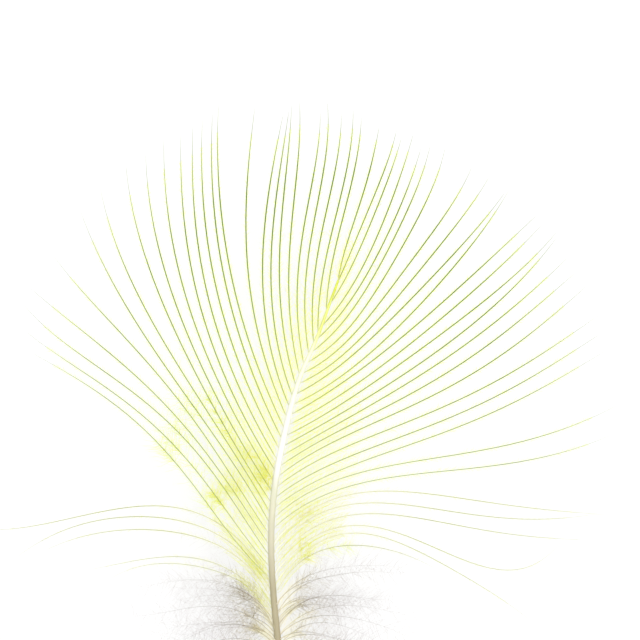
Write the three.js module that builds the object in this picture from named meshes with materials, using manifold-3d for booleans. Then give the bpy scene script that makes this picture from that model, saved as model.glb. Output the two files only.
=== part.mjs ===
// A small loose body feather, lying on its hollow side: a thin arched shaft, an open fan of free barbs,
// long drooping barbs below the fan and slender locks of down at the base, all grown together as one piece.
//
// Units are millimetres. +Y runs along the feather to its apex, +X is to the right seen from above, and +Z
// is up. Plan positions are measured from the fan centre, the middle of the circle that the barb tips lie on.
// Angles turn clockwise from +Y, seen from above.
import * as THREE from "three";
import { mergeVertices } from "three/addons/utils/BufferGeometryUtils.js";
import Module from "manifold-3d";

const LEFT = -1;
const RIGHT = 1;

// Where the fan centre stands in the part's own frame, whose origin is under the middle of the feather.
const FAN_CENTRE = new THREE.Vector3(0.5, 3.81, 0);

// Shaft, from the quill's blunt end to the apex: how far along +Y, sideways, height and thickness.
const SHAFT_ROUTE = [
  [-25.6, -0.1, 0.19, 0.24],
  [-25.1, -0.22, 0.25, 0.44],
  [-21.2, -1.05, 0.68, 0.52],
  [-16.9, -1.75, 1.65, 0.46],
  [-13.0, -2.2, 2.4, 0.4],
  [-9.0, -2.42, 2.98, 0.39],
  [-5.6, -2.22, 3.3, 0.4],
  [-2.0, -1.56, 3.45, 0.38],
  [1.25, -0.69, 3.4, 0.3],
  [3.9, 0.44, 3.2, 0.21],
  [7.44, 1.75, 2.8, 0.15],
];
const SHAFT_SIDES = 8;
const SHAFT_RINGS = 26;

// Fan barbs. The first ones leave the shaft far apart, the others at one even step down the shaft.
const APEX_ALONG = 7.44;
const LEFT_FIRST_DROPS = [0, 2.0, 3.38, 4.0];
const RIGHT_FIRST_DROPS = [0.15, 1.5, 2.87, 3.69, 4.5];
const LEFT_BARB_STEP = 0.665;
const RIGHT_BARB_STEP = 0.65;

// Where each fan barb ends, from the apex down: angle round the fan centre in degrees, and reach. A barb that
// strays from the even fan then has its own additions to the three swings below.
const LEFT_TIPS = [
  [14.3, 17.2],
  [10.5, 17.5],
  [8.7, 17.8],
  [6.4, 17.5, 0.3, 1.3, 1.3],
  [3.6, 18.0],
  [2.1, 17.4, 0, 1.5, 1.5],
  [-2.0, 18.0, -2.7, -2.7, -2.7],
  [-3.8, 17.8, -2.3, -2.3, -2.3],
  [-4.7, 17.4, -0.8, -0.8, -0.8],
  [-6.0, 17.3],
  [-11.4, 17.9],
  [-18.0, 18.6, 0.2, 1, 0.8],
  [-19.8, 18.1, 0.3, 1.1, 0.8],
  [-21.9, 18.1, 0.4, 1.1, 0.8],
  [-24.2, 17.9, 0.4, 0.8, 0.7],
  [-26.8, 17.9, 0.2, 0.4, 0.6],
  [-30.5, 18.0, -0.4, 0, 0.9],
  [-34.9, 17.9, -0.3, 0, 0.9],
  [-39.4, 18.0, -0.4, -0.2, 0.5],
  [-46.0, 18.0, -1.5, -0.5, 1.2],
  [-52.0, 17.8, -1.6, -0.3, 0.9],
  [-61.5, 17.8, -1.3, -1, 0],
  [-69.0, 18.1, -1.2, -0.9, 0.9],
  [-72.8, 18.2, -2, -1, 0.6],
  [-77.3, 17.7, -1, -0.6, 0],
  [-81.0, 17.1, 1, 0, 0],
];
const RIGHT_TIPS = [
  [17.9, 17.3, 0.5, -0.3, -1.2],
  [19.3, 17.0, 3, 0, -0.8],
  [21.4, 17.3, 2.5, 0.3, 0.3],
  [24.0, 16.7],
  [25.7, 17.0],
  [28.7, 17.3],
  [35.2, 17.1, 0.7, 0, 0],
  [39.0, 17.4, 0.8, 1, 0],
  [43.5, 17.1, 0, 0.5, 0.8],
  [43.9, 17.5, 1.6, 3.6, 3.2],
  [51.0, 17.5, -0.3, 0.6, 0.5],
  [53.3, 17.5, 0.2, 1.2, 1.4],
  [56.4, 17.9, -0.3, 0.6, 1.2],
  [57.4, 17.8, -0.9, 3.9, 2.7],
  [61.7, 17.7, 0, 0.3, 0.5],
  [65.0, 17.7, -0.6, 0.2, 0.4],
  [68.5, 17.9, -1.2, 0.3, 1.6],
  [74.5, 18.0, -0.4, -0.5, 0.9],
  [78.0, 17.9, 0.2, -0.7, 1.2],
  [81.6, 17.9, 0.2, -0.8, 0.9],
  [92.0, 18.6],
  [97.4, 18.5],
];

// How far a fan barb swings out from its straight line, in hundredths of its length: tip angle, then the
// swing near the shaft, in the middle and near the tip. A swing away from the apex is positive.
const LEFT_SWINGS = [
  [-81, 1, -12.5, -6.5],
  [-73, -1.5, -14, 0],
  [-69, -2.5, -9.5, -4],
  [-61.5, 0, -6.5, 0],
  [-52, 0, 2.5, 3.5],
  [-40, 4.5, 5.5, 7],
  [-27, 7, 10.5, 7],
  [-18, 6, 7.5, 5.5],
  [-11.4, 8, 10.5, 6],
  [-6, 10, 11, 6],
  [3.6, 6.5, 5, -3],
  [14.3, 3, -2, -2],
];
const RIGHT_SWINGS = [
  [18.5, 1, 0.5, 4.5],
  [21.4, 5.5, 5.5, 4],
  [28.7, 13.5, 4, 8.5],
  [35, 11.5, 1, 6.5],
  [51, 5, 3, 1.5],
  [56.5, 5, 1.5, 4],
  [65, -1, 7.5, 3],
  [74.5, -5, 6.5, 2],
  [81.6, -7, 5.5, 1.5],
  [92, -12.5, 0, 3.5],
  [97.4, -14, -2.5, 3],
];

// Long barbs below the fan, which arch up and droop: root along the shaft, tip across and along, swings.
const LEFT_DROOPING = [
  { root: -11.75, tip: [-19.6, -8.1], swing: [-31, -27, -5.5] },
  { root: -12.25, tip: [-17.6, -9.3], swing: [-33, -21.5, -24.5] },
  { root: -12.75, tip: [-15.9, -9.1], swing: [-29.5, -19.5, -19.5] },
  { root: -13.25, tip: [-13.3, -10.5], swing: [-21, -27, -11.5] },
  { root: -13.75, tip: [-12.0, -10.9], swing: [-28, -16, -23] },
];
const RIGHT_DROOPING = [
  { root: -9.1, tip: [17.6, -7.1], swing: [-26.5, -9.5, -4.5] },
  { root: -9.75, tip: [17.0, -7.25], swing: [-28, -6.5, 0] },
  { root: -10.4, tip: [16.25, -8.7], swing: [-29.5, -9.5, -3.5] },
  { root: -11.0, tip: [15.1, -9.5], swing: [-29, -20, 20] },
  { root: -11.6, tip: [13.1, -13.25], swing: [-44.5, -20, -15] },
  { root: -12.25, tip: [7.3, -10.25], swing: [-32, -25.5, -20.5] },
];

// Down: locks that leave the base of the shaft on both sides, arch over and spread at several heights.
const DOWN_LOCKS_A_SIDE = 11;
const LEFT_DOWN_START = -14.2;
const RIGHT_DOWN_START = -12.9;
const DOWN_END = -19.0;
const DOWN_FIRST_HEADING = 66;
const DOWN_LAST_HEADING = 122;
const DOWN_LENGTHS = [7.6, 9.3, 6.7, 8.4];
const DOWN_LOWEST_SHORTENED = 0.4;
const DOWN_TIP_HEIGHTS = [3.6, 0.5, 5.95, 1.9, 0.2];
const DOWN_SWINGS = [
  [-24, -19, -10],
  [-30, -27, -16],
  [-19, -10, 4],
  [-27, -15, -14],
  [-22, -24, -3],
];

// Sections, width by height, and how many steps each kind of strand has along its length.
const BARB_SECTION = { root: [0.2, 0.24], tip: [0.1, 0.08], steps: 8 };
const DROOPING_SECTION = { root: [0.2, 0.22], tip: [0.1, 0.08], steps: 12 };
const DOWN_SECTION = { root: [0.24, 0.24], tip: [0.14, 0.12], steps: 7 };

// Barbs end on the surface that the feather lies on, and a few are lifted off it.
const RESTING_TIP_HEIGHT = 0.042;
const TIP_LIFTS = [0, 0.3, 0.1, 0.5, 0, 0.2];
// Height of a barb on its way down, as shares of the shaft's height where it grows.
const BARB_ARCH = [1.08, 0.98, 0.62];
const DOWN_ARCH = [1.12, 1.1, 1.02];

const FEATHER_GREEN = "#9fb534";

// Reads a list of rows [key, value, value, ...] at any key, on a smooth curve through the rows.
function smoothRow(rows, key) {
  const last = rows.length - 1;
  let i = rows.findIndex((row) => row[0] > key) - 1;
  if (i < 0) i = key <= rows[0][0] ? 0 : last - 1;
  const [a, b] = [rows[i], rows[i + 1]];
  const before = rows[Math.max(i - 1, 0)];
  const after = rows[Math.min(i + 2, last)];
  const span = b[0] - a[0];
  const t = THREE.MathUtils.clamp((key - a[0]) / span, 0, 1);
  return a.slice(1).map((value, k) => {
    const column = k + 1;
    const slopeA = ((b[column] - before[column]) / (b[0] - before[0])) * span;
    const slopeB = ((after[column] - value) / (after[0] - a[0])) * span;
    return (
      (2 * t ** 3 - 3 * t ** 2 + 1) * value +
      (t ** 3 - 2 * t ** 2 + t) * slopeA +
      (3 * t ** 2 - 2 * t ** 3) * b[column] +
      (t ** 3 - t ** 2) * slopeB
    );
  });
}

// The shaft's centre at a place along it.
function shaftPoint(along) {
  const [across, height] = smoothRow(SHAFT_ROUTE, along);
  return new THREE.Vector3(across, along, height);
}

// One barb or lock: a curve from the shaft to a tip, swung sideways by three shares of its length and
// arched through three heights. It is a Bezier curve of five points.
class Strand extends THREE.Curve {
  constructor(root, tip, side, swing, arch) {
    super();
    const line = new THREE.Vector3(tip.x - root.x, tip.y - root.y, 0);
    // Away from the apex: to the left of the strand on the left side, and to its right on the right side.
    const outward = new THREE.Vector3(side * line.y, -side * line.x, 0);
    this.points = [root];
    swing.forEach((percent, i) => {
      const point = root.clone().addScaledVector(line, (i + 1) / 4);
      point.addScaledVector(outward, percent / 100);
      point.z = arch[i];
      this.points.push(point);
    });
    this.points.push(tip);
  }

  getPoint(t, target = new THREE.Vector3()) {
    const s = 1 - t;
    const weights = [s ** 4, 4 * s ** 3 * t, 6 * s * s * t * t, 4 * s * t ** 3, t ** 4];
    target.set(0, 0, 0);
    weights.forEach((weight, i) => target.addScaledVector(this.points[i], weight));
    return target;
  }
}

// A closed tube of rings round a list of centres; shapeAt gives a ring's outline as [across, up] pairs.
function tube(centres, shapeAt) {
  const up = new THREE.Vector3(0, 0, 1);
  const sides = shapeAt(0).length;
  const last = centres.length - 1;
  const positions = [];
  centres.forEach((centre, i) => {
    const from = centres[Math.max(i - 1, 0)];
    const to = centres[Math.min(i + 1, last)];
    const along = to.clone().sub(from).normalize();
    const across = along.clone().cross(up).normalize();
    const over = across.clone().cross(along);
    for (const [x, y] of shapeAt(i / last)) {
      const point = centre.clone().addScaledVector(across, x).addScaledVector(over, y);
      positions.push(...point.toArray());
    }
  });
  const faces = [];
  for (let ring = 0; ring < last; ring += 1) {
    for (let k = 0; k < sides; k += 1) {
      const a = ring * sides + k;
      const b = ring * sides + ((k + 1) % sides);
      faces.push(a, b, b + sides, a, b + sides, a + sides);
    }
  }
  for (let k = 1; k < sides - 1; k += 1) {
    const end = last * sides;
    faces.push(0, k + 1, k, end, end + k, end + k + 1);
  }
  const geometry = new THREE.BufferGeometry();
  geometry.setAttribute("position", new THREE.Float32BufferAttribute(positions, 3));
  geometry.setIndex(faces);
  return geometry;
}

// A ring with its corners on an ellipse of the given width and height, turned the way tube() wants it.
function ellipse(width, height, sides, firstCorner) {
  return Array.from({ length: sides }, (_, k) => {
    const angle = firstCorner - (2 * Math.PI * k) / sides;
    return [(width / 2) * Math.cos(angle), (height / 2) * Math.sin(angle)];
  });
}

function shaftGeometry() {
  const start = SHAFT_ROUTE[0][0];
  const end = SHAFT_ROUTE[SHAFT_ROUTE.length - 1][0];
  // The rings crowd towards the quill's rounded end.
  const places = Array.from({ length: SHAFT_RINGS }, (_, i) => {
    const share = i / (SHAFT_RINGS - 1);
    return start + (end - start) * share ** 1.35;
  });
  return tube(places.map(shaftPoint), (share) => {
    const along = places[Math.round(share * (SHAFT_RINGS - 1))];
    const thickness = smoothRow(SHAFT_ROUTE, along)[2];
    return ellipse(thickness, thickness, SHAFT_SIDES, Math.PI / SHAFT_SIDES);
  });
}

function strandGeometry(strand, section) {
  const centres = strand.getPoints(section.steps);
  return tube(centres, (share) => {
    const width = THREE.MathUtils.lerp(section.root[0], section.tip[0], share);
    const height = THREE.MathUtils.lerp(section.root[1], section.tip[1], share);
    return ellipse(width, height, 4, 0);
  });
}

// Where the barbs of one side leave the shaft, from the apex down.
function barbRoots(firstDrops, step, count) {
  const drops = [...firstDrops];
  while (drops.length < count) drops.push(drops[drops.length - 1] + step);
  return drops.map((drop) => APEX_ALONG - drop);
}

function tipHeight(number) {
  return RESTING_TIP_HEIGHT + TIP_LIFTS[number % TIP_LIFTS.length];
}

// A barb from the shaft to a tip, arched down to the surface.
function barb(side, along, tipX, tipY, swing, number, section) {
  const root = shaftPoint(along);
  const tip = new THREE.Vector3(tipX, tipY, tipHeight(number));
  const arch = BARB_ARCH.map((share) => share * root.z);
  return strandGeometry(new Strand(root, tip, side, swing, arch), section);
}

function fanBarbs(side, tips, firstDrops, step, swings) {
  const roots = barbRoots(firstDrops, step, tips.length);
  return tips.map(([degrees, reach, ...strays], number) => {
    const angle = THREE.MathUtils.degToRad(degrees);
    const swing = smoothRow(swings, degrees).map((percent, i) => percent + (strays[i] ?? 0));
    const [x, y] = [reach * Math.sin(angle), reach * Math.cos(angle)];
    return barb(side, roots[number], x, y, swing, number, BARB_SECTION);
  });
}

function droopingBarbs(side, rows) {
  return rows.map(({ root, tip, swing }, number) =>
    barb(side, root, tip[0], tip[1], swing, number, DROOPING_SECTION),
  );
}

function downLocks(side, start) {
  return Array.from({ length: DOWN_LOCKS_A_SIDE }, (_, number) => {
    const share = number / (DOWN_LOCKS_A_SIDE - 1);
    // The right side starts elsewhere in each pattern, so that the two sides don't mirror each other.
    const turn = side === RIGHT ? number + 2 : number;
    const root = shaftPoint(THREE.MathUtils.lerp(start, DOWN_END, share));
    const heading = THREE.MathUtils.lerp(DOWN_FIRST_HEADING, DOWN_LAST_HEADING, share);
    const angle = THREE.MathUtils.degToRad(side * heading);
    const length = DOWN_LENGTHS[turn % DOWN_LENGTHS.length] * (1 - DOWN_LOWEST_SHORTENED * share ** 2);
    const tip = root.clone();
    tip.x += length * Math.sin(angle);
    tip.y += length * Math.cos(angle);
    tip.z = DOWN_TIP_HEIGHTS[turn % DOWN_TIP_HEIGHTS.length];
    const arch = DOWN_ARCH.map((rise, i) => THREE.MathUtils.lerp(root.z, tip.z, (i + 1) / 4) * rise);
    const swing = DOWN_SWINGS[turn % DOWN_SWINGS.length];
    return strandGeometry(new Strand(root, tip, side, swing, arch), DOWN_SECTION);
  });
}

const wasm = await Module();
wasm.setup();

function solid(geometry) {
  const merged = mergeVertices(geometry);
  return new wasm.Manifold(
    new wasm.Mesh({
      numProp: 3,
      vertProperties: merged.attributes.position.array,
      triVerts: new Uint32Array(merged.index.array),
    }),
  );
}

// Joins the pieces into one closed surface.
function grownTogether(geometries) {
  const whole = geometries.map(solid).reduce((sum, piece) => sum.add(piece));
  const mesh = whole.getMesh();
  const geometry = new THREE.BufferGeometry();
  geometry.setAttribute("position", new THREE.BufferAttribute(mesh.vertProperties, 3));
  geometry.setIndex(new THREE.BufferAttribute(mesh.triVerts, 1));
  geometry.computeVertexNormals();
  return geometry;
}

const feather = new THREE.Mesh(
  grownTogether([
    shaftGeometry(),
    ...fanBarbs(LEFT, LEFT_TIPS, LEFT_FIRST_DROPS, LEFT_BARB_STEP, LEFT_SWINGS),
    ...fanBarbs(RIGHT, RIGHT_TIPS, RIGHT_FIRST_DROPS, RIGHT_BARB_STEP, RIGHT_SWINGS),
    ...droopingBarbs(LEFT, LEFT_DROOPING),
    ...droopingBarbs(RIGHT, RIGHT_DROOPING),
    ...downLocks(LEFT, LEFT_DOWN_START),
    ...downLocks(RIGHT, RIGHT_DOWN_START),
  ]),
  new THREE.MeshStandardMaterial({ color: FEATHER_GREEN, roughness: 0.6, metalness: 0 }),
);
feather.name = "feather";

const root = new THREE.Group();
root.position.copy(FAN_CENTRE);
root.add(feather);

export default root;
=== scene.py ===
"""A small loose green body feather that lies on its hollow side on a light table, seen from above.

The shaft arches over the surface. An open fan of free barbs falls from it to the surface, long barbs droop
below the fan, yellow fluff fills the roots of the barbs and grey down covers the base.

The feather's classes hold millimetres and Blender gets metres. +Y runs along the feather to its apex, +X is
to the right seen from above and +Z is up. Places in plan are measured from the fan centre, the middle of the
circle that the barb tips lie on. Angles turn clockwise from +Y, seen from above.
"""

import logging
import math
from dataclasses import dataclass, field, replace
from enum import Enum

import bpy
import numpy as np
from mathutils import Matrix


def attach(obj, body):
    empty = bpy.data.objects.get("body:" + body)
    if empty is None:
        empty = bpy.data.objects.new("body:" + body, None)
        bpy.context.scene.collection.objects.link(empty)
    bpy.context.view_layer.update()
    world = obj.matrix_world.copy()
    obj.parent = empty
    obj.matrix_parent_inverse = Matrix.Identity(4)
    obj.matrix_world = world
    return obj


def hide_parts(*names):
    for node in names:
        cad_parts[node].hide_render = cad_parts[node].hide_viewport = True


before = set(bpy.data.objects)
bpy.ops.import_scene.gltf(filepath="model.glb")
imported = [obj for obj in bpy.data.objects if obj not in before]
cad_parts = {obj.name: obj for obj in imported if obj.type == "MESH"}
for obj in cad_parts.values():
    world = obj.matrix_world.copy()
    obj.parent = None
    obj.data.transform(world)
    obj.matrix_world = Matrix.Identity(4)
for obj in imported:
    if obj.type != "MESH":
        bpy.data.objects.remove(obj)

LOG = logging.getLogger("feather")
MM = 0.001
BODY = "root"
NODE = "feather"
FAN_CENTRE = np.array([0.5, 3.81, 0.0])
UP = np.array([0.0, 0.0, 1.0])
WHITE = (1.0, 1.0, 1.0, 1.0)
# Strands of one piece share this many tints, each a band of the map that keeps a margin to the next.
TINTS = 16
BAND_MARGIN = 0.1
# How far the cap at a tube's root reaches along the map from its middle.
CAP_REACH = 0.004
# A tube that starts out steeper than this has its first width along +X.
STEEP = 0.9

Rows = tuple[tuple[float, ...], ...]
Colour = tuple[int, int, int]
Stops = tuple[tuple[float, Colour], ...]
Socket = bpy.types.NodeSocket


class Side(Enum):
    """The two vanes of the feather."""

    LEFT = -1
    RIGHT = 1


class Slot(Enum):
    """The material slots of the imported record."""

    BARBS = "barbs"
    SHAFT = "shaft"
    FLUFF = "fluff"
    DOWN = "down"


def smooth_row(rows: Rows, key: float) -> np.ndarray:
    """Reads rows of (key, value, value, ...) at any key, on a smooth curve through them.

    Args:
        rows: the rows, with rising keys.
        key: the place to read.

    Returns:
        The values there.
    """
    last = len(rows) - 1
    later = [i for i, row in enumerate(rows) if row[0] > key]
    i = max(later[0] - 1 if later else last - 1, 0)
    before, a, b, after = (np.array(rows[k], float) for k in (max(i - 1, 0), i, i + 1, min(i + 2, last)))
    span = b[0] - a[0]
    t = min(max((key - a[0]) / span, 0.0), 1.0)
    slope_a = (b - before) / (b[0] - before[0]) * span
    slope_b = (after - a) / (after[0] - a[0]) * span
    value = (2 * t**3 - 3 * t**2 + 1) * a + (t**3 - 2 * t**2 + t) * slope_a
    value += (3 * t**2 - 2 * t**3) * b + (t**3 - t**2) * slope_b
    return value[1:]


def unit(vectors: np.ndarray) -> np.ndarray:
    """Returns the vectors at length one."""
    return vectors / np.maximum(np.linalg.norm(vectors, axis=-1, keepdims=True), 1e-12)


def lerp(a: float, b: float, share: float) -> float:
    """Returns the value at a share of the way from a to b."""
    return a + (b - a) * share


def placed(name: str, data: bpy.types.ID) -> bpy.types.Object:
    """Puts a new object in the scene.

    Args:
        name: its name.
        data: its mesh, lamp or lens.

    Returns:
        The object.
    """
    thing = bpy.data.objects.new(name, data)
    bpy.context.scene.collection.objects.link(thing)
    return thing


def linear(colour: Colour) -> tuple[float, float, float, float]:
    """Turns a colour of 0 to 255 as seen on a screen into the shader's values.

    Args:
        colour: red, green and blue.

    Returns:
        The same colour in linear light, with full cover.
    """
    shares = [value / 255 for value in colour]
    values = [s / 12.92 if s <= 0.04045 else ((s + 0.055) / 1.055) ** 2.4 for s in shares]
    return (*values, 1.0)


@dataclass(frozen=True)
class Strand:
    """The centre line of a barb: a Bezier curve of five points."""

    points: np.ndarray

    @classmethod
    def grown(cls, root: np.ndarray, tip: np.ndarray, side: Side, swing: np.ndarray,
              arch: np.ndarray) -> "Strand":
        """Grows a strand from its root to its tip.

        Args:
            root: where it leaves the shaft.
            tip: where it ends.
            side: its vane.
            swing: how far it swings away from the apex, in hundredths of its length, at three places.
            arch: its heights at the same places.

        Returns:
            The strand.
        """
        line = np.array([tip[0] - root[0], tip[1] - root[1], 0.0])
        outward = side.value * np.array([line[1], -line[0], 0.0])
        points = [root]
        for i, (percent, height) in enumerate(zip(swing, arch)):
            point = root + line * (i + 1) / 4 + outward * percent / 100
            point[2] = height
            points.append(point)
        return cls(np.array([*points, tip]))

    def at(self, shares: np.ndarray) -> np.ndarray:
        """Returns the points at the given shares of the strand."""
        return self._blend(self.points, shares)

    def heading(self, shares: np.ndarray) -> np.ndarray:
        """Returns the directions towards the tip at the given shares of the strand."""
        return unit(self._blend(np.diff(self.points, axis=0), shares))

    @staticmethod
    def _blend(points: np.ndarray, shares: np.ndarray) -> np.ndarray:
        """Reads a Bezier curve.

        Args:
            points: the points that it has.
            shares: the places to read, 0 to 1.

        Returns:
            The curve's points there.
        """
        t = np.asarray(shares, float)[..., None]
        last = len(points) - 1
        weights = [math.comb(last, k) * (1 - t) ** (last - k) * t**k for k in range(last + 1)]
        return np.concatenate(weights, axis=-1) @ points

    def length(self) -> float:
        """Returns the strand's length in millimetres."""
        path = self.at(np.linspace(0, 1, 17))
        return float(np.linalg.norm(np.diff(path, axis=0), axis=1).sum())


@dataclass
class Bundle:
    """Tapering tubes with pointed ends that together are one mesh, with or without a groove underneath.

    Each tube has one tint. The map named OFBake gives a tube its tint's band, with the place along the tube
    across the map, and the colours depend on nothing else.
    """

    name: str
    sides: int = 3
    groove: float = 0.0
    groove_width: float = 0.35
    points: list[np.ndarray] = field(default_factory=list)
    faces: list[list[int]] = field(default_factory=list)
    maps: list[np.ndarray] = field(default_factory=list)
    along: list[np.ndarray] = field(default_factory=list)
    tints: list[np.ndarray] = field(default_factory=list)
    used: int = 0

    def add(self, centres: np.ndarray, widths: np.ndarray, depths: np.ndarray, tints: np.ndarray,
            along: np.ndarray) -> None:
        """Adds tubes that have the same number of rings.

        Args:
            centres: for each tube its rings' centres and then its tip.
            widths: the rings' widths, for all tubes or for each.
            depths: the rings' depths, likewise.
            tints: each tube's tint, 0 to 1.
            along: where the rings and the tip are on the tube, 0 to 1, for all tubes or for each.
        """
        count, rings, sides = centres.shape[0], centres.shape[1] - 1, self.sides
        along = np.broadcast_to(along, (count, rings + 1))
        rings_of_points = self._rings(centres, np.broadcast_to(widths, (count, rings)),
                                      np.broadcast_to(depths, (count, rings)))
        tube = np.concatenate([rings_of_points.reshape(count, rings * sides, 3), centres[:, -1:]], axis=1)
        bands = np.minimum((np.clip(tints, 0, 1) * TINTS).astype(int), TINTS - 1)
        start = self.used + np.arange(count)[:, None, None] * (rings * sides + 1)

        ring, k = np.divmod(np.arange((rings - 1) * sides), sides)
        quad_rings = np.stack([ring, ring + 1, ring + 1, ring], axis=-1)
        quad_turns = np.stack([k, k, k + 1, k + 1], axis=-1)
        k = np.arange(sides)
        tip_rings = np.tile([rings - 1, rings, rings - 1], (sides, 1))
        tip_turns = np.stack([k, k + 0.5, k + 1], axis=-1)
        tip_points = np.stack([k, 0 * k, (k + 1) % sides], axis=-1)
        cap_along = CAP_REACH * (1 + np.cos(2 * np.pi * k / sides))
        cap_turn = (1 + np.sin(2 * np.pi * k / sides)) / 2

        self._add_faces(start + quad_rings * sides + quad_turns % sides, along[:, quad_rings],
                        quad_turns / sides, bands)
        self._add_faces(start + tip_rings * sides + tip_points, along[:, tip_rings], tip_turns / sides, bands)
        self._add_faces(start + k[None, :], np.minimum(along[:, :1, None] + cap_along, 1.0),
                        cap_turn[None, :], bands)

        self.points.append(tube.reshape(-1, 3))
        places = np.concatenate([np.repeat(along[:, :-1], sides, axis=1), along[:, -1:]], axis=1)
        self.along.append(places.ravel())
        self.tints.append(np.repeat((bands + 0.5) / TINTS, rings * sides + 1))
        self.used += count * (rings * sides + 1)

    def _rings(self, centres: np.ndarray, widths: np.ndarray, depths: np.ndarray) -> np.ndarray:
        """Sets each tube's rings square to its path.

        Args:
            centres: the rings' centres and the tip of each tube.
            widths: each ring's width.
            depths: each ring's depth.

        Returns:
            The points of the rings.
        """
        count, rings = widths.shape
        tangents = unit(np.gradient(centres, axis=1))
        steep = np.abs(tangents[:, 0, 2:]) > STEEP
        across = np.cross(tangents[:, 0], np.where(steep, np.array([1.0, 0.0, 0.0]), UP))
        angles = 2 * np.pi * np.arange(self.sides) / self.sides
        hollow = self.groove * np.exp(-((np.cos(angles) / self.groove_width) ** 2)) * (np.sin(angles) < 0)
        points = np.empty((count, rings, self.sides, 3))
        for ring in range(rings):
            tangent = tangents[:, ring]
            across = unit(across - (across * tangent).sum(axis=1, keepdims=True) * tangent)
            over = np.cross(across, tangent)
            wide = np.cos(angles)[None, :, None] * widths[:, ring, None, None] / 2
            deep = (np.sin(angles) + hollow)[None, :, None] * depths[:, ring, None, None] / 2
            points[:, ring] = centres[:, ring, None] + across[:, None] * wide + over[:, None] * deep
        return points

    def _add_faces(self, corners: np.ndarray, along: np.ndarray, turns: np.ndarray,
                   bands: np.ndarray) -> None:
        """Adds faces of one kind to all tubes.

        Args:
            corners: the numbers of each tube's points at each face's corners.
            along: where the corners are along the tube.
            turns: where they are round the tube, 0 to 1.
            bands: each tube's band of the map.
        """
        self.faces += corners.reshape(-1, corners.shape[-1]).tolist()
        heights = (bands[:, None, None] + BAND_MARGIN + (1 - 2 * BAND_MARGIN) * turns) / TINTS
        self.maps.append(np.stack(np.broadcast_arrays(along, heights), axis=-1).reshape(-1, 2))

    def build(self) -> bpy.types.Object:
        """Makes the mesh and its object.

        Returns:
            The object, in the part's own frame.
        """
        mesh = bpy.data.meshes.new(self.name)
        points = (np.concatenate(self.points) + FAN_CENTRE) * MM
        mesh.from_pydata(points.tolist(), [], self.faces)
        mesh.uv_layers.new(name="OFBake").data.foreach_set("uv", np.concatenate(self.maps).ravel())
        for name, values in (("along", self.along), ("tint", self.tints)):
            mesh.attributes.new(name, "FLOAT", "POINT").data.foreach_set("value", np.concatenate(values))
        mesh.shade_smooth()
        return placed(self.name, mesh)


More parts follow.
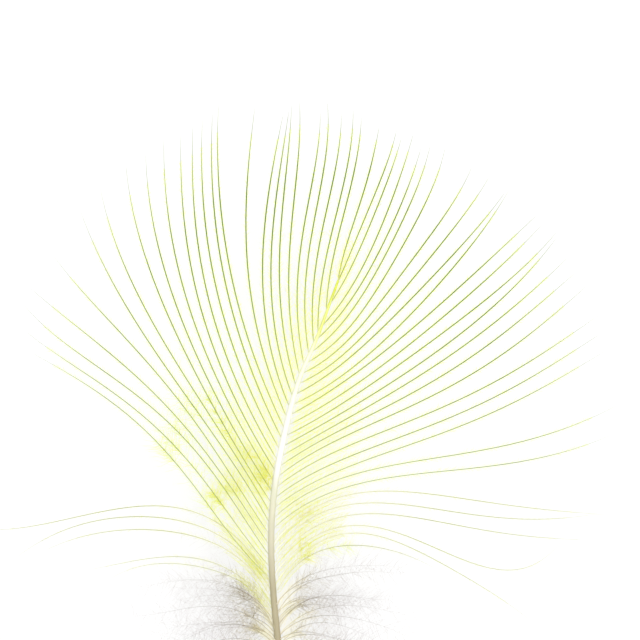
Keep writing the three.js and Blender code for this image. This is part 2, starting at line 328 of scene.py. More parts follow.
@dataclass(frozen=True)
class Barbules:
    """How one kind of barbule grows on both sides of a barb.

    They stand between the first and the last share of the barb and are longest at the first. They lean away
    from the barb and curl back towards it. Those with a distance aside lean out as far as that and then run
    along the barb, in a streak. Unruly ones vary in length and angle, loose ones rise and fall, and wander
    makes them drift.
    """

    first: float
    last: float
    spacing: float
    longest: float
    shortest: float
    leaning: float
    curling: float
    thickness: float
    unruly: float = 0.15
    loose: float = 0.05
    wander: float = 0.0
    rings: int = 3
    shortening: float = 1.0
    tinting: float = 0.06
    aside: float = 0.0
    drifting: float = 0.7
    tapering: float = 0.65
    clearance: float = 0.6
    least_leaning: float = 0.2
    most_outward: float = 0.6

    def grow(self, strand: Strand, bundle: Bundle, rng: np.random.Generator,
             tint: float | None = None) -> None:
        """Grows the barbules of one barb.

        Args:
            strand: the barb.
            bundle: where the barbules go.
            rng: the piece's own random numbers.
            tint: their mean tint, which otherwise is their place.
        """
        pairs = max(int(strand.length() * (self.last - self.first) / self.spacing), 1)
        places = (np.repeat(np.arange(pairs), 2) + rng.uniform(0, 1, pairs * 2)) / pairs
        self.grow_at(strand, places, np.tile([1.0, -1.0], pairs), bundle, rng, tint)

    def grow_at(self, strand: Strand, places: np.ndarray, sides: np.ndarray, bundle: Bundle,
                rng: np.random.Generator, tint: float | None = None) -> None:
        """Grows barbules at given places of one barb.

        Args:
            strand: the barb.
            places: where they stand, 0 at the first share of the barb and 1 at the last.
            sides: 1 to the right of the barb and -1 to its left.
            bundle: where the barbules go.
            rng: the piece's own random numbers.
            tint: their mean tint, which otherwise is their place.
        """
        count = len(places)
        shares = self.first + (self.last - self.first) * places
        forward = strand.heading(shares)
        sideways = unit(np.cross(forward, UP)) * sides[:, None]
        lengths = self.longest + (self.shortest - self.longest) * places**self.shortening
        lengths = lengths * rng.uniform(1 - 2 * self.unruly, 1 + 2 * self.unruly, count)
        leaning = np.radians(self.leaning) * (1 + rng.normal(0, self.unruly, count))
        rise = rng.normal(0, self.loose, count)
        drift = rng.normal(0, 1, (count, 3))
        path = [strand.at(shares)]
        for angle, length in self._stretches(leaning, lengths):
            step = forward * np.cos(angle)[:, None] + sideways * np.sin(angle)[:, None] + UP * rise[:, None]
            drift += rng.normal(0, self.drifting, (count, 3))
            step = unit(step + self.wander * drift)
            path.append(path[-1] + step * length[:, None])
        centres = np.stack(path, axis=1)
        centres[..., 2] = np.maximum(centres[..., 2], self.thickness * self.clearance)
        along = np.linspace(0, 1, self.rings + 1)
        widths = self.thickness * (1 - self.tapering * along[:-1])
        tints = np.clip((places if tint is None else tint) + rng.normal(0, self.tinting, count), 0, 1)
        bundle.add(centres, widths, widths, tints, along)

    def finer(self, other: "Barbules", share: float) -> "Barbules":
        """Returns barbules whose lengths and thickness are a share of the way to another kind's."""
        names = ("longest", "shortest", "thickness")
        return replace(self, **{n: lerp(getattr(self, n), getattr(other, n), share) for n in names})

    def _stretches(self, leaning: np.ndarray, lengths: np.ndarray) -> list[tuple[np.ndarray, np.ndarray]]:
        """Divides barbules into stretches.

        Args:
            leaning: their first angles to the barb.
            lengths: their lengths.

        Returns:
            Each stretch's angles to the barb and its lengths.
        """
        if not self.aside:
            turns = [1 - self.curling * (ring + 0.5) / self.rings for ring in range(self.rings)]
            return [(leaning * turn, lengths / self.rings) for turn in turns]
        reach = self.aside / np.sin(np.maximum(leaning, self.least_leaning))
        outward = np.minimum(reach, self.most_outward * lengths)
        onward = (lengths - outward) / (self.rings - 1)
        return [(leaning, outward)] + [(leaning * (1 - self.curling), onward)] * (self.rings - 1)


# The numbers of the mix node's inputs and its output for colours.
MIX_FACTOR, MIX_A, MIX_B, MIX_RESULT = 0, 6, 7, 2


@dataclass
class Nodes:
    """The nodes of one material, added one after another."""

    name: str
    material: bpy.types.Material = field(init=False)
    shader: bpy.types.Node = field(init=False)

    def __post_init__(self) -> None:
        """Makes the material with its shader."""
        self.material = bpy.data.materials.new(self.name)
        self.material.use_nodes = True
        self.shader = self.material.node_tree.nodes["Principled BSDF"]

    def add(self, kind: str, inputs: dict[str | int, object], **settings: object) -> bpy.types.Node:
        """Adds a node.

        Args:
            kind: Blender's name of the node's type.
            inputs: what its inputs are given.
            settings: what its own properties are set to.

        Returns:
            The node.
        """
        node = self.material.node_tree.nodes.new(kind)
        for setting, value in settings.items():
            setattr(node, setting, value)
        self.give(node, inputs)
        return node

    def give(self, node: bpy.types.Node, inputs: dict[str | int, object]) -> None:
        """Gives a node's inputs their values or links.

        Args:
            node: the node.
            inputs: for an input's name or number its value, or the output that it is linked to.
        """
        for name, value in inputs.items():
            if isinstance(value, Socket):
                self.material.node_tree.links.new(value, node.inputs[name])
            else:
                node.inputs[name].default_value = value

    def attribute(self, name: str) -> Socket:
        """Returns a number that the mesh keeps at each of its points."""
        return self.add("ShaderNodeAttribute", {}, attribute_name=name).outputs["Fac"]

    def ramp(self, source: Socket, stops: Stops) -> Socket:
        """Turns a number into a colour.

        Args:
            source: the number.
            stops: the colours and their places.

        Returns:
            The colour.
        """
        node = self.add("ShaderNodeValToRGB", {"Fac": source})
        elements = node.color_ramp.elements
        elements.remove(elements[1])
        for number, (place, colour) in enumerate(stops):
            element = elements[0] if number == 0 else elements.new(place)
            element.position = place
            element.color = linear(colour)
        return node.outputs["Color"]

    def scaled(self, source: Socket, factor: float, plus: float = 0.0) -> Socket:
        """Returns a number times a factor and plus another number."""
        inputs = {0: source, 1: factor, 2: plus}
        return self.add("ShaderNodeMath", inputs, operation="MULTIPLY_ADD").outputs[0]

    def between(self, source: Socket, lowest: float, highest: float) -> Socket:
        """Returns a number of 0 to 1 stretched to lie between two others."""
        return self.scaled(source, highest - lowest, lowest)

    def multiply(self, a: Socket, b: Socket) -> Socket:
        """Returns the product of two colours."""
        inputs = {MIX_FACTOR: 1.0, MIX_A: a, MIX_B: b}
        return self.add("ShaderNodeMix", inputs, data_type="RGBA", blend_type="MULTIPLY").outputs[MIX_RESULT]

    def noise(self, vector: Socket, scale: float, detail: float = 2.0) -> Socket:
        """Returns soft random values over a surface or along strands."""
        inputs = {"Vector": vector, "Scale": scale, "Detail": detail}
        return self.add("ShaderNodeTexNoise", inputs).outputs["Fac"]

    def bump(self, height: Socket, distance: float, strength: float) -> None:
        """Raises the surface in the shading by a distance in metres, with a strength."""
        inputs = {"Height": height, "Distance": distance, "Strength": strength}
        self.give(self.shader, {"Normal": self.add("ShaderNodeBump", inputs).outputs["Normal"]})


@dataclass(frozen=True)
class StrandFinish:
    """The keratin of barbs and barbules, coloured from root to tip and from strand to strand."""

    name: str
    slot: Slot
    along: Stops
    tints: Stops
    roughness: tuple[float, float] = (0.4, 0.6)
    specular: float = 0.15
    sheen: float = 0.03
    mottling: tuple[float, float] = (0.88, 1.12)
    grain: float = 30.0
    tint_grain: float = 41.0
    fineness: float = 7.0
    relief: tuple[float, float] = (0.000006, 0.5)

    def material(self) -> bpy.types.Material:
        """Makes the finish's material.

        Returns:
            The material.
        """
        nodes = Nodes(self.name)
        along = nodes.attribute("along")
        tint = nodes.attribute("tint")
        shares = {"X": nodes.scaled(along, self.grain), "Y": nodes.scaled(tint, self.tint_grain)}
        place = nodes.add("ShaderNodeCombineXYZ", shares).outputs["Vector"]
        cells = nodes.noise(place, 1.0)
        fine = nodes.noise(place, self.fineness)
        colour = nodes.multiply(nodes.ramp(along, self.along), nodes.ramp(tint, self.tints))
        nodes.give(nodes.shader, {
            "Base Color": nodes.multiply(colour, nodes.between(cells, *self.mottling)),
            "Roughness": nodes.between(fine, *self.roughness),
            "Specular IOR Level": self.specular,
            "Sheen Weight": self.sheen,
        })
        nodes.bump(fine, *self.relief)
        return nodes.material


@dataclass(frozen=True)
class HornFinish:
    """The horn of the shaft: taupe and clear at the quill, chalk white in the middle, yellow at the apex."""

    name: str = "horn"
    slot: Slot = Slot.SHAFT
    along: Stops = (
        (0.0, (96, 84, 66)), (0.012, (178, 168, 142)), (0.12, (172, 162, 136)), (0.3, (142, 132, 104)),
        (0.42, (146, 138, 110)), (0.5, (168, 163, 140)), (0.57, (180, 178, 154)),
        (0.605, (184, 184, 161)), (0.63, (196, 195, 186)), (0.66, (204, 204, 196)),
        (0.735, (202, 202, 191)), (0.775, (201, 202, 185)), (0.815, (199, 201, 175)),
        (0.85, (201, 203, 178)), (0.9, (200, 206, 128)), (1.0, (182, 194, 62)),
    )
    roughness: tuple[float, float] = (0.22, 0.44)
    coat: float = 0.2
    fibres: tuple[float, float, float] = (9000, 350, 9000)
    fibre_detail: float = 3.0
    fibre_shades: tuple[float, float] = (0.86, 1.1)
    relief: tuple[float, float] = (0.00001, 0.6)

    def material(self) -> bpy.types.Material:
        """Makes the finish's material.

        Returns:
            The material.
        """
        nodes = Nodes(self.name)
        place = nodes.add("ShaderNodeTexCoord", {}).outputs["Object"]
        stretched = nodes.add("ShaderNodeMapping", {"Vector": place, "Scale": self.fibres}).outputs["Vector"]
        fibres = nodes.noise(stretched, 1.0, self.fibre_detail)
        colour = nodes.ramp(nodes.attribute("along"), self.along)
        nodes.give(nodes.shader, {
            "Base Color": nodes.multiply(colour, nodes.between(fibres, *self.fibre_shades)),
            "Roughness": nodes.between(fibres, *self.roughness),
            "Coat Weight": self.coat,
        })
        nodes.bump(fibres, *self.relief)
        return nodes.material


@dataclass(frozen=True)
class FloorFinish:
    """The matt white top of the light table under the feather."""

    name: str = "light_table"
    glow: float = 0.64
    shades: Stops = ((0.0, (128, 128, 128)), (1.0, (134, 134, 134)))
    grain: float = 900.0
    grain_detail: float = 4.0
    roughness: float = 0.95
    specular: float = 0.1
    relief: tuple[float, float] = (0.00002, 0.15)

    def material(self) -> bpy.types.Material:
        """Makes the finish's material.

        Returns:
            The material.
        """
        nodes = Nodes(self.name)
        place = nodes.add("ShaderNodeTexCoord", {}).outputs["Object"]
        grains = nodes.noise(place, self.grain, self.grain_detail)
        nodes.give(nodes.shader, {
            "Base Color": nodes.ramp(grains, self.shades),
            "Emission Color": WHITE,
            "Emission Strength": self.glow,
            "Roughness": self.roughness,
            "Specular IOR Level": self.specular,
        })
        nodes.bump(grains, *self.relief)
        return nodes.material


def dress(piece: bpy.types.Object, finish: StrandFinish | HornFinish) -> None:
    """Gives a piece its finish, hangs it on the root body and hides the imported feather node that it
    replaces.

    Args:
        piece: the piece.
        finish: its finish.
    """
    piece.data.materials.append(finish.material())
    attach(piece, BODY)
    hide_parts(NODE)
    LOG.info("%s: %d faces, %s", piece.name, len(piece.data.polygons), finish.name)


GREEN_BARB = StrandFinish(
    "green_barb", Slot.BARBS,
    along=(
        (0.0, (236, 232, 206)), (0.04, (158, 166, 98)), (0.16, (138, 150, 88)), (0.32, (116, 136, 74)),
        (0.5, (98, 120, 42)), (0.66, (76, 104, 14)), (0.78, (80, 106, 18)), (0.9, (112, 132, 60)),
        (1.0, (180, 184, 160)),
    ),
    tints=((0.0, (226, 234, 222)), (0.5, (244, 246, 238)), (1.0, (255, 255, 255))),
    roughness=(0.35, 0.55),
)
GREEN_FRINGE = StrandFinish(
    "green_fringe", Slot.BARBS,
    along=((0.0, (238, 246, 12)), (1.0, (248, 252, 30))),
    tints=((0.0, (255, 252, 190)), (0.3, (252, 254, 220)), (1.0, (248, 254, 226))),
)
YELLOW_FLUFF = StrandFinish(
    "yellow_fluff", Slot.FLUFF,
    along=((0.0, (238, 236, 108)), (0.5, (238, 242, 80)), (1.0, (244, 248, 120))),
    tints=((0.0, (255, 250, 226)), (0.4, (248, 252, 228)), (0.7, (240, 240, 226)), (1.0, (230, 230, 220))),
)
TANGLED_FLUFF = StrandFinish(
    "tangled_fluff", Slot.FLUFF,
    along=((0.0, (230, 234, 56)), (0.5, (230, 238, 30)), (1.0, (238, 244, 66))),
    tints=((0.0, (250, 236, 190)), (0.5, (244, 250, 200)), (1.0, (226, 246, 200))),
)
OLIVE_FLUFF = StrandFinish(
    "olive_fluff", Slot.DOWN,
    along=((0.0, (142, 128, 62)), (0.5, (126, 114, 58)), (1.0, (150, 140, 96))),
    tints=((0.0, (255, 236, 190)), (0.5, (244, 244, 210)), (1.0, (236, 226, 220))),
)
DROOPING_BARB = StrandFinish(
    "drooping_barb", Slot.BARBS,
    along=(
        (0.0, (236, 232, 206)), (0.12, (208, 202, 166)), (0.3, (186, 186, 142)), (0.5, (154, 160, 102)),
        (0.85, (144, 152, 84)), (1.0, (196, 198, 170)),
    ),
    tints=((0.0, (236, 238, 232)), (1.0, (255, 255, 255))),
)
DOWNY_BARB = StrandFinish(
    "downy_barb", Slot.DOWN,
    along=(
        (0.0, (236, 230, 214)), (0.14, (196, 188, 148)), (0.22, (146, 136, 106)), (0.4, (164, 158, 152)),
        (0.7, (184, 182, 180)), (1.0, (214, 214, 214)),
    ),
    tints=((0.0, (226, 222, 218)), (1.0, (255, 255, 255))),
)
GREY_DOWN = StrandFinish(
    "grey_down", Slot.DOWN,
    along=((0.0, (160, 152, 148)), (1.0, (190, 185, 183))),
    tints=(
        (0.0, (250, 232, 150)), (0.1, (206, 190, 140)), (0.22, (222, 212, 204)), (0.6, (240, 236, 238)),
        (1.0, (255, 255, 255)),
    ),
)
BASE_FLUFF = StrandFinish(
    "base_fluff", Slot.FLUFF,
    along=((0.0, (242, 238, 222)), (1.0, (236, 232, 188))),
    tints=((0.0, (255, 252, 240)), (0.6, (250, 248, 228)), (1.0, (222, 210, 176))),
)


@dataclass
class Shaft:
    """The quill and the rachis, one slender horn that arches over the surface.

    The route's rows are the place along the feather, and there the place across, height and thickness.
    """

    route: Rows = (
        (-25.6, -0.1, 0.19, 0.24), (-25.1, -0.22, 0.25, 0.44), (-21.2, -1.05, 0.68, 0.52),
        (-16.9, -1.75, 1.65, 0.46), (-13.0, -2.2, 2.4, 0.4), (-9.0, -2.42, 2.98, 0.39),
        (-5.6, -2.22, 3.3, 0.4), (-2.0, -1.56, 3.45, 0.38), (1.25, -0.69, 3.4, 0.3),
        (3.9, 0.44, 3.2, 0.21), (7.44, 1.75, 2.8, 0.15),
    )
    rings: int = 110
    sides: int = 20
    tip_length: float = 0.25
    tip_from: float = 0.995
    crowding: float = 1.6
    flatness: float = 0.96
    groove: float = 0.3

    def point(self, along: float) -> np.ndarray:
        """Returns the shaft's centre at a place along it."""
        across, height, _ = smooth_row(self.route, along)
        return np.array([across, along, height])

    def thickness(self, along: float) -> float:
        """Returns the shaft's thickness at a place along it."""
        return float(smooth_row(self.route, along)[2])

    def build(self) -> None:
        """Builds and dresses the shaft."""
        start, end = self.route[0][0], self.route[-1][0]
        places = start + (end - start) * np.linspace(0, 1, self.rings) ** self.crowding
        centres = [self.point(place) for place in places]
        centres.append(centres[-1] + unit(centres[-1] - centres[-2]) * self.tip_length)
        thickness = np.array([self.thickness(place) for place in places])
        along = np.append((places - start) / (end - start) * self.tip_from, 1.0)
        shaft = Bundle("shaft", sides=self.sides, groove=self.groove)
        shaft.add(np.array([centres]), thickness, thickness * self.flatness, np.array([0.0]), along)
        # Its one band is spread over the map's whole height.
        shaft.maps = [part * np.array([1, TINTS]) for part in shaft.maps]
        dress(shaft.build(), HornFinish())


@dataclass(frozen=True)
class BarbSection:
    """How thick a barb is: at its root on the shaft, along its length and at its tip.

    It flares out to the root, thins from the tapering share to the tip and runs on beyond its centre line.
    The neck says how much thicker it is than its body near the root, or thinner where it is below zero. The
    shares say how thick the barbs of one row are against each other, from the first to the last.
    """

    root: float = 0.09
    body: float = 0.069
    tip: float = 0.013
    rings: int = 28
    tapering: float = 0.75
    beyond: float = 0.05
    neck: float = -0.28
    shares: tuple[float, ...] = (1.0, 1.0)
    sides: int = 6
    flare_reach: float = 0.03
    neck_reach: float = 0.2
    depth: float = 1.15
    root_depth: float = 0.35

    def build(self, name: str, strands: list[Strand], rng: np.random.Generator, finish: StrandFinish) -> None:
        """Builds and dresses barbs as one piece.

        Args:
            name: the piece's name.
            strands: the barbs' centre lines.
            rng: the piece's own random numbers.
            finish: its finish.
        """
        shares = np.linspace(0, 1 + self.beyond, self.rings + 1)
        flare = np.exp(-shares[:-1] / self.flare_reach)
        taper = np.clip((shares[:-1] - self.tapering) / (1 + self.beyond - self.tapering), 0, 1)
        neck = self.neck * np.exp(-((shares[:-1] / self.neck_reach) ** 2))
        widths = self.body * (1 + neck) + (self.root - self.body) * flare - (self.body - self.tip) * taper
        rows = np.linspace(0, len(self.shares) - 1, len(strands))
        widths = widths * np.interp(rows, np.arange(len(self.shares)), self.shares)[:, None]
        depths = widths * (self.depth + self.root_depth * flare)
        centres = np.stack([strand.at(shares) for strand in strands])
        centres[..., 2] = np.maximum(centres[..., 2], self.tip)
        tints = rng.permutation(len(strands)) / len(strands)
        barbs = Bundle(name, sides=self.sides)
        barbs.add(centres, widths, depths, tints, np.minimum(shares / shares[-1], 1.0))
        dress(barbs.build(), finish)


# A fallen barb's height at its three swings, as shares of the shaft's height at its root.
BARB_ARCH = np.array([1.08, 0.98, 0.62])
# Barb tips rest on the surface, and some are lifted off it.
RESTING_TIP_HEIGHT = 0.042
TIP_LIFTS = (0, 0.3, 0.1, 0.5, 0, 0.2)
DROOPING_SECTION = BarbSection(body=0.044, rings=34, tapering=0.6)


def fallen_barb(shaft: Shaft, side: Side, along: float, tip: tuple[float, float], swing: np.ndarray,
                number: int) -> Strand:
    """Grows a barb that arches down from the shaft to the surface.

    Args:
        shaft: what it grows from.
        side: its vane.
        along: where it leaves the shaft.
        tip: where it ends in plan.
        swing: its three swings.
        number: its number in its row, which says how far its tip is lifted.

    Returns:
        The barb's centre line.
    """
    root = shaft.point(along)
    height = RESTING_TIP_HEIGHT + TIP_LIFTS[number % len(TIP_LIFTS)]
    return Strand.grown(root, np.array([*tip, height]), side, swing, BARB_ARCH * root[2])


@dataclass
class Fan:
    """The free barbs of one vane, with their short fringe and the yellow fluff at their roots.

    The tips' rows are the angle round the fan centre, the reach and, for barbs that stray, additions to the
    swings. The swings' rows are the tip's angle and three swings. On the lower barbs the fringe is finer and
    the fluff runs in streaks.
    """

    shaft: Shaft
    side: Side
    first_drops: tuple[float, ...]
    step: float
    tips: Rows
    swings: Rows
    apex: float = 7.44
    section: BarbSection = BarbSection(shares=(0.88, 0.92, 0.91, 0.79, 0.5))
    fringe: Barbules = Barbules(
        first=0.02, last=0.95, spacing=0.05, longest=0.32, shortest=0.16, leaning=46, curling=0.35,
        thickness=0.0215, unruly=0.3, rings=1, shortening=1.6,
    )
    lowest_fringe: Barbules = replace(fringe, longest=0.46, shortest=0.28, thickness=0.009)
    fluff: Barbules = Barbules(
        first=0.004, last=0.27, spacing=0.085, longest=1.5, shortest=0.2, leaning=34, curling=0.8,
        thickness=0.0098, unruly=0.2, loose=0.06, wander=0.03, shortening=0.7,
    )
    streaks: Barbules = replace(
        fluff, shortest=0.3, leaning=46, curling=0.96, thickness=0.0094, unruly=0.15, loose=0.04, wander=0.02,
        aside=0.25,
    )
    streaked_from: int = 11
    lowest_tint: float = 0.7
    seed: int = 11

    def strands(self) -> list[Strand]:
        """Grows the vane's barbs.

        Returns:
            Their centre lines, from the apex down.
        """
        drops = list(self.first_drops)
        while len(drops) < len(self.tips):
            drops.append(drops[-1] + self.step)
        barbs = []
        for number, (degrees, reach, *strays) in enumerate(self.tips):
            swing = smooth_row(self.swings, degrees) + (np.array(strays) if strays else 0.0)
            angle = math.radians(degrees)
            tip = (reach * math.sin(angle), reach * math.cos(angle))
            barbs.append(fallen_barb(self.shaft, self.side, self.apex - drops[number], tip, swing, number))
        return barbs

    def build(self) -> list[Strand]:
        """Builds and dresses the barbs, the fringe and the fluff.

        Returns:
            The barbs' centre lines.
        """
        name = self.side.name.lower()
        rng = np.random.default_rng(self.seed + self.side.value)
        strands = self.strands()
        self.section.build(f"barbs_{name}", strands, rng, GREEN_BARB)
        fringe = Bundle(f"fringe_{name}")
        fluff = Bundle(f"fluff_{name}")
        for number, strand in enumerate(strands):
            low = number / len(strands)
            self.fringe.finer(self.lowest_fringe, max(2 * low - 1, 0.0)).grow(strand, fringe, rng)
            barbules = self.streaks if number >= self.streaked_from else self.fluff
            barbules.grow(strand, fluff, rng, low * self.lowest_tint)
        dress(fringe.build(), GREEN_FRINGE)
        dress(fluff.build(), YELLOW_FLUFF)
        return strands


@dataclass
class DroopingBarbs:
    """The long barbs of one side below the fan, which arch up and droop, with fluff at their roots.

    The barbs' rows are the root's place on the shaft, the tip's places across and along, and three swings.
    """

    shaft: Shaft
    side: Side
    barbs: Rows
    section: BarbSection = replace(DROOPING_SECTION, shares=(1.0, 0.95, 0.75))
    fringe: Barbules = replace(
        Fan.fringe, spacing=0.1, longest=0.42, shortest=0.24, leaning=44, curling=0.4, thickness=0.0095,
        shortening=1.0,
    )
    fringe_tint: float = 0.8
    streaks: Barbules = replace(
        Fan.streaks, first=0.01, last=0.26, shortest=0.4, leaning=44, thickness=0.0125, shortening=1.0,
        aside=0.23,
    )
    streak_tint: float = 0.9
    seed: int = 23

    def build(self) -> list[Strand]:
        """Builds and dresses the barbs and their fluff.

        Returns:
            The barbs' centre lines.
        """
        name = self.side.name.lower()
        rng = np.random.default_rng(self.seed + self.side.value)
        strands = [
            fallen_barb(self.shaft, self.side, root, (across, along), np.array(swing), number)
            for number, (root, across, along, *swing) in enumerate(self.barbs)
        ]
        self.section.build(f"drooping_barbs_{name}", strands, rng, DROOPING_BARB)
        fluff = Bundle(f"drooping_fluff_{name}")
        for strand in strands:
            self.fringe.grow(strand, fluff, rng, self.fringe_tint)
            self.streaks.grow(strand, fluff, rng, self.streak_tint)
        dress(fluff.build(), YELLOW_FLUFF)
        return strands


CLINGING = Barbules(
    first=0.0, last=1.0, spacing=0.1, longest=0.8, shortest=0.8, leaning=56, curling=0.5, thickness=0.0125,
    unruly=0.35, loose=0.06, wander=0.12, tinting=0.3,
)
CROSSING = replace(CLINGING, leaning=58, curling=0.4, loose=0.1, wander=0.25)


@dataclass
class TangledFluff:
    """The denser patches of one side, where the barbules of several barbs cling together.

    The tangles' rows are the place across, the place along, the reach and how many barbules there are. They
    stand on the barbs' inner stretch, fewer the further a place is from the tangle's middle.
    """

    side: Side
    barbs: list[Strand]
    tangles: Rows
    finish: StrandFinish = TANGLED_FLUFF
    barbules: Barbules = CLINGING
    stretch: tuple[float, float] = (0.01, 0.6)
    places: int = 240
    falloff: float = 1.5
    seed: int = 53

    def build(self) -> None:
        """Builds and dresses the patches."""
        rng = np.random.default_rng(self.seed + self.side.value)
        patches = Bundle(f"{self.finish.name}_{self.side.name.lower()}")
        shares = np.linspace(*self.stretch, self.places)
        points = np.array([barb.at(shares)[:, :2] for barb in self.barbs])
        for across, along, reach, count in self.tangles:
            away = np.linalg.norm(points - (across, along), axis=2)
            weights = np.exp(-((away / reach) ** 2) * self.falloff).ravel()
            picks = rng.choice(weights.size, count, p=weights / weights.sum())
            for number, barb in enumerate(self.barbs):
                places = shares[picks[picks // shares.size == number] % shares.size]
                if len(places):
                    self.barbules.grow_at(barb, places, rng.choice([-1.0, 1.0], len(places)), patches, rng)
        dress(patches.build(), self.finish)


@dataclass
class Down:
    """The downy barbs of one side at the base, with long loose barbules.

    Evenly spread locks come first and then stragglers, which veer off and differ in length. Some of the down
    stands on neighbouring barbs.
    """

    shaft: Shaft
    side: Side
    start: float
    turned: int
    neighbours: list[Strand]
    end: float = -19.0
    locks: int = 11
    stragglers: int = 27
    crowding: float = 1.1
    headings: tuple[float, float] = (66, 122)
    lengths: tuple[float, ...] = (7.6, 9.3, 6.7, 8.4)
    lowest_shortened: float = 0.4
    tip_heights: tuple[float, ...] = (3.6, 0.5, 4.9, 1.9, 0.2)
    swings: Rows = ((-24, -19, -10), (-30, -27, -16), (-19, -10, 4), (-27, -15, -14), (-22, -24, -3))
    arch: tuple[float, float, float] = (1.12, 1.1, 1.02)
    straggler_places: tuple[float, float] = (0.3, 0.7)
    straggler_veer: tuple[float, float] = (4, 8)
    straggler_lengths: tuple[float, float] = (0.5, 1.05)
    section: BarbSection = BarbSection(
        root=0.1, body=0.024, tip=0.008, rings=16, tapering=0.3, beyond=0.0, neck=0.7, sides=5,
    )
    fluff: Barbules = Barbules(
        first=0.01, last=0.26, spacing=0.09, longest=0.9, shortest=0.6, leaning=26, curling=0.8,
        thickness=0.01, unruly=0.2, loose=0.06, wander=0.05,
    )
    fuzz: Barbules = Barbules(
        first=0.22, last=0.99, spacing=0.19, longest=1.6, shortest=1.2, leaning=58, curling=0.3,
        thickness=0.0088, unruly=0.3, loose=0.14, wander=0.1, rings=4,
    )
    edge_fuzz: Barbules = replace(
        fuzz, first=0.25, last=0.6, spacing=0.25, longest=1.2, shortest=0.3, leaning=66, thickness=0.006,
        wander=0.16,
    )
    seed: int = 37

    def _lock(self, share: float, turn: int, veer: float, shorter: float) -> Strand:
        """Grows one downy barb.

        Args:
            share: where its root is, from the first to the last.
            turn: which length, height and swing it has in their patterns.
            veer: degrees added to its heading.
            shorter: what its length is multiplied by.

        Returns:
            The barb's centre line.
        """
        root = self.shaft.point(lerp(self.start, self.end, share))
        angle = math.radians(self.side.value * (lerp(*self.headings, share) + veer))
        length = self.lengths[turn % len(self.lengths)] * (1 - self.lowest_shortened * share**2) * shorter
        height = self.tip_heights[turn % len(self.tip_heights)]
        tip = np.array([root[0] + length * math.sin(angle), root[1] + length * math.cos(angle), height])
        arch = np.array([lerp(root[2], height, (i + 1) / 4) * rise for i, rise in enumerate(self.arch)])
        return Strand.grown(root, tip, self.side, np.array(self.swings[turn % len(self.swings)]), arch)

    def build(self) -> list[Strand]:
        """Builds and dresses the downy barbs and their barbules.

        Returns:
            The downy barbs' centre lines.
        """
        name = self.side.name.lower()
        rng = np.random.default_rng(self.seed + self.side.value)
        strands = [self._lock(n / (self.locks - 1), n + self.turned, 0.0, 1.0) for n in range(self.locks)]
        patterns = len(self.lengths) * len(self.tip_heights)
        for n in range(self.stragglers):
            share = ((n + rng.uniform(*self.straggler_places)) / self.stragglers) ** self.crowding
            veer, shorter = rng.normal(*self.straggler_veer), rng.uniform(*self.straggler_lengths)
            strands.append(self._lock(share, int(rng.integers(0, patterns)), veer, shorter))
        self.section.build(f"downy_barbs_{name}", strands, rng, DOWNY_BARB)
        fluff = Bundle(f"base_fluff_{name}")
        fuzz = Bundle(f"down_{name}")
        for strand in strands:
            self.fluff.grow(strand, fluff, rng)
            self.fuzz.grow(strand, fuzz, rng)
        for strand in self.neighbours:
            self.edge_fuzz.grow(strand, fuzz, rng)
        dress(fluff.build(), BASE_FLUFF)
        dress(fuzz.build(), GREY_DOWN)
        return strands


LEFT_TIPS: Rows = (
    (14.3, 17.2), (10.5, 17.5), (8.7, 17.8), (6.4, 17.5, 0.3, 1.3, 1.3), (3.6, 18.0),
    (2.1, 17.4, 0, 1.5, 1.5), (-2.0, 18.0, -2.7, -2.7, -2.7), (-3.8, 17.8, -2.3, -2.3, -2.3),
    (-4.7, 17.4, -0.8, -0.8, -0.8), (-6.0, 17.3), (-11.4, 17.9), (-18.0, 18.6, 0.2, 1, 0.8),
    (-19.8, 18.1, 0.3, 1.1, 0.8), (-21.9, 18.1, 0.4, 1.1, 0.8), (-24.2, 17.9, 0.4, 0.8, 0.7),
    (-26.8, 17.9, 0.2, 0.4, 0.6), (-30.5, 18.0, -0.4, 0, 0.9), (-34.9, 17.9, -0.3, 0, 0.9),
    (-39.4, 18.0, -0.4, -0.2, 0.5), (-46.0, 18.0, -1.5, -0.5, 1.2), (-52.0, 17.8, -1.6, -0.3, 0.9),
    (-61.5, 17.8, -1.3, -1, 0), (-69.0, 18.1, -1.2, -0.9, 0.9), (-72.8, 18.2, -2, -1, 0.6),
    (-77.3, 17.7, -1, -0.6, 0), (-81.0, 17.1, 1, 0, 0),
)
LEFT_SWINGS: Rows = (
    (-81, 1, -12.5, -6.5), (-73, -1.5, -14, 0), (-69, -2.5, -9.5, -4), (-61.5, 0, -6.5, 0),
    (-52, 0, 2.5, 3.5), (-40, 4.5, 5.5, 7), (-27, 7, 10.5, 7), (-18, 6, 7.5, 5.5), (-11.4, 8, 10.5, 6),
    (-6, 10, 11, 6), (3.6, 6.5, 5, -3), (14.3, 3, -2, -2),
)
RIGHT_TIPS: Rows = (
    (17.9, 17.3, 0.5, -0.3, -1.2), (19.3, 17.0, 3, 0, -0.8), (21.4, 17.3, 2.5, 0.3, 0.3), (24.0, 16.7),
    (25.7, 17.0), (28.7, 17.3), (35.2, 17.1, 0.7, 0, 0), (39.0, 17.4, 0.8, 1, 0),
    (43.5, 17.1, 0, 0.5, 0.8), (43.9, 17.5, 1.6, 3.6, 3.2), (51.0, 17.5, -0.3, 0.6, 0.5),
    (53.3, 17.5, 0.2, 1.2, 1.4), (56.4, 17.9, -0.3, 0.6, 1.2), (57.4, 17.8, -0.9, 3.9, 2.7),
    (61.7, 17.7, 0, 0.3, 0.5), (65.0, 17.7, -0.6, 0.2, 0.4), (68.5, 17.9, -1.2, 0.3, 1.6),
    (74.5, 18.0, -0.4, -0.5, 0.9), (78.0, 17.9, 0.2, -0.7, 1.2), (81.6, 17.9, 0.2, -0.8, 0.9),
    (92.0, 18.6), (97.4, 18.5),
)
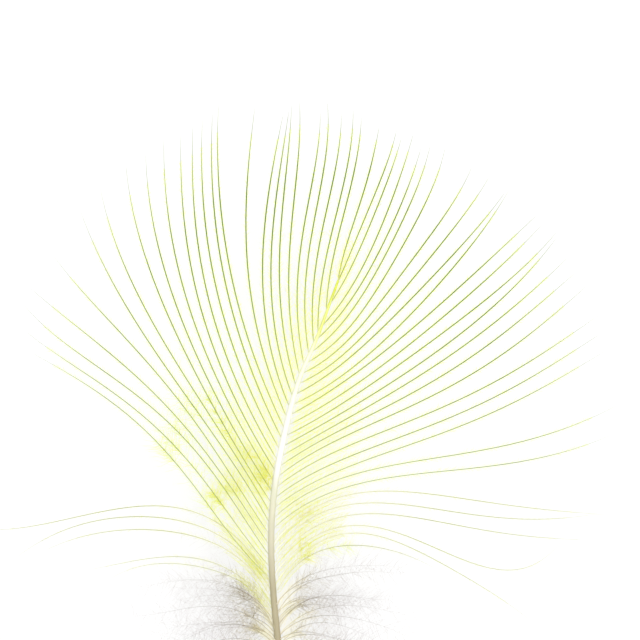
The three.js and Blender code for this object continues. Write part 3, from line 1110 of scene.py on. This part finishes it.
RIGHT_SWINGS: Rows = (
    (18.5, 1, 0.5, 4.5), (21.4, 5.5, 5.5, 4), (28.7, 13.5, 4, 8.5), (35, 11.5, 1, 6.5), (51, 5, 3, 1.5),
    (56.5, 5, 1.5, 4), (65, -1, 7.5, 3), (74.5, -5, 6.5, 2), (81.6, -7, 5.5, 1.5), (92, -12.5, 0, 3.5),
    (97.4, -14, -2.5, 3),
)
LEFT_DROOPING: Rows = (
    (-11.75, -19.6, -8.1, -31, -27, -5.5),
    (-12.25, -17.6, -9.3, -33, -21.5, -24.5),
    (-12.75, -15.9, -9.1, -29.5, -19.5, -19.5),
    (-13.25, -13.3, -10.5, -21, -27, -11.5),
    (-13.75, -12.0, -10.9, -28, -16, -23),
)
RIGHT_DROOPING: Rows = (
    (-9.1, 17.6, -7.1, -26.5, -9.5, -4.5),
    (-9.75, 17.0, -7.25, -28, -6.5, 0),
    (-10.4, 16.25, -8.7, -29.5, -9.5, -3.5),
    (-11.0, 15.1, -9.5, -29, -20, 20),
    (-11.6, 13.1, -13.25, -44.5, -20, -15),
    (-12.25, 7.3, -10.25, -32, -25.5, -20.5),
)
LEFT_TANGLES: Rows = (
    (-7.4, -0.5, 0.9, 110), (-6.3, -0.1, 0.3, 40), (-5.9, -0.8, 0.3, 45), (-5.5, -1.4, 0.3, 45),
    (-5.1, -2.0, 0.3, 50), (-4.7, -2.6, 0.3, 35), (-4.2, -3.3, 0.5, 60), (-3.5, -3.7, 0.6, 110),
    (-2.8, -4.7, 0.6, 230), (-2.5, -5.4, 0.45, 90), (-4.6, -5.6, 0.6, 130), (-4.9, -4.9, 0.5, 50),
    (-5.9, -5.9, 0.7, 90), (-5.7, -6.5, 0.7, 130), (-8.3, -2.3, 1.1, 120), (-8.8, -3.5, 0.9, 100),
    (-5.95, -6.2, 0.4, 25), (-4.1, -7.3, 1.0, 60), (-3.2, -8.6, 0.8, 15), (-3.4, -10.4, 0.8, 70),
    (-6.9, -4.4, 0.9, 50),
)
LEFT_OLIVE: Rows = (
    (-5.2, -10.9, 0.6, 30), (-4.4, -11.7, 0.6, 70), (-3.9, -12.1, 0.55, 90), (-3.6, -13.2, 0.55, 70),
    (-3.2, -14.3, 0.5, 60),
)
RIGHT_OLIVE: Rows = (
    (-0.3, -10.6, 0.5, 22), (-0.6, -11.6, 0.5, 22), (-0.7, -12.6, 0.5, 24), (-0.8, -13.8, 0.5, 26),
    (-0.9, -14.7, 0.5, 26),
)
RIGHT_TANGLES: Rows = (
    (-0.8, -7.0, 0.8, 90), (0.0, -7.2, 0.8, 60), (1.0, -8.1, 1.0, 60), (-0.6, -8.9, 0.8, 100),
    (-0.1, -10.0, 0.4, 70), (1.3, -9.1, 0.45, 30), (2.2, -9.3, 0.45, 25),
)


@dataclass
class Studio:
    """The light table, the soft light and the camera that looks straight down, in metres and watts."""

    floor_size: float = 30.0
    sky: float = 1.6
    softbox_power: float = 3.6
    softbox_size: float = 0.5
    softbox_place: tuple[float, float, float] = (0.35, 0.3, 0.8)
    softbox_tilt: tuple[float, float, float] = (-20, 24, 0)
    camera_height: float = 1.0
    window: float = 0.04
    window_centre: tuple[float, float] = (0.001125, 0.00881)
    sensor: float = 36.0
    clipping: tuple[float, float] = (0.01, 200.0)

    def build(self) -> None:
        """Sets up the floor, the light and the camera."""
        self._floor()
        self._light()
        self._camera()
        bpy.context.scene.view_settings.view_transform = "Standard"
        LOG.info("studio: floor, soft light and camera")

    def _floor(self) -> None:
        """Lays the top of the light table."""
        half = self.floor_size / 2
        corners = [(-half, -half, 0), (half, -half, 0), (half, half, 0), (-half, half, 0)]
        mesh = bpy.data.meshes.new("floor")
        mesh.from_pydata(corners, [], [(0, 1, 2, 3)])
        mesh.materials.append(FloorFinish().material())
        placed("floor", mesh)

    def _light(self) -> None:
        """Lights the scene evenly, with one large softbox from above."""
        world = bpy.data.worlds.new("studio")
        world.use_nodes = True
        background = world.node_tree.nodes["Background"]
        background.inputs["Color"].default_value = WHITE
        background.inputs["Strength"].default_value = self.sky
        bpy.context.scene.world = world
        lamp = bpy.data.lights.new("softbox", "AREA")
        lamp.energy = self.softbox_power
        lamp.size = self.softbox_size
        softbox = placed("softbox", lamp)
        softbox.location = self.softbox_place
        softbox.rotation_euler = [math.radians(angle) for angle in self.softbox_tilt]

    def _camera(self) -> None:
        """Hangs the camera over the feather, with the picture's top towards the apex."""
        lens = bpy.data.cameras.new("camera")
        lens.sensor_width = self.sensor
        lens.lens = self.sensor * self.camera_height / self.window
        lens.clip_start, lens.clip_end = self.clipping
        camera = placed("camera", lens)
        camera.location = (*self.window_centre, self.camera_height)
        bpy.context.scene.camera = camera


def main() -> None:
    """Builds the feather and its studio."""
    logging.basicConfig(level=logging.INFO, format="%(name)s: %(message)s")
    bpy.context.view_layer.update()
    shaft = Shaft()
    shaft.build()
    left_fan = Fan(
        shaft, Side.LEFT, first_drops=(0, 2.0, 3.38, 4.0), step=0.665, tips=LEFT_TIPS, swings=LEFT_SWINGS,
        section=BarbSection(shares=(1.0, 1.02, 1.0, 0.76, 0.53)), streaked_from=14,
        fluff=replace(Fan.fluff, spacing=0.1, longest=1.4, thickness=0.0085),
    ).build()
    left_section = replace(DROOPING_SECTION, shares=(1.0, 1.0, 0.95, 0.65, 0.6))
    left_long = DroopingBarbs(shaft, Side.LEFT, LEFT_DROOPING, left_section).build()
    right_fan = Fan(
        shaft, Side.RIGHT, first_drops=(0.15, 1.5, 2.87, 3.69, 4.5), step=0.65, tips=RIGHT_TIPS,
        swings=RIGHT_SWINGS,
    ).build()
    right_long = DroopingBarbs(shaft, Side.RIGHT, RIGHT_DROOPING).build()
    TangledFluff(Side.LEFT, left_fan + left_long, LEFT_TANGLES).build()
    TangledFluff(Side.RIGHT, right_fan + right_long, RIGHT_TANGLES).build()
    left_down = Down(shaft, Side.LEFT, start=-14.2, turned=0, neighbours=left_long[2:])
    right_down = Down(shaft, Side.RIGHT, start=-12.9, turned=2, neighbours=right_long[5:], crowding=0.92)
    left_locks, right_locks = left_down.build(), right_down.build()
    TangledFluff(Side.LEFT, left_long + left_locks, LEFT_OLIVE, OLIVE_FLUFF, CROSSING).build()
    TangledFluff(Side.RIGHT, right_long + right_locks, RIGHT_OLIVE, OLIVE_FLUFF, CROSSING).build()
    Studio().build()


if __name__ == "__main__":
    main()
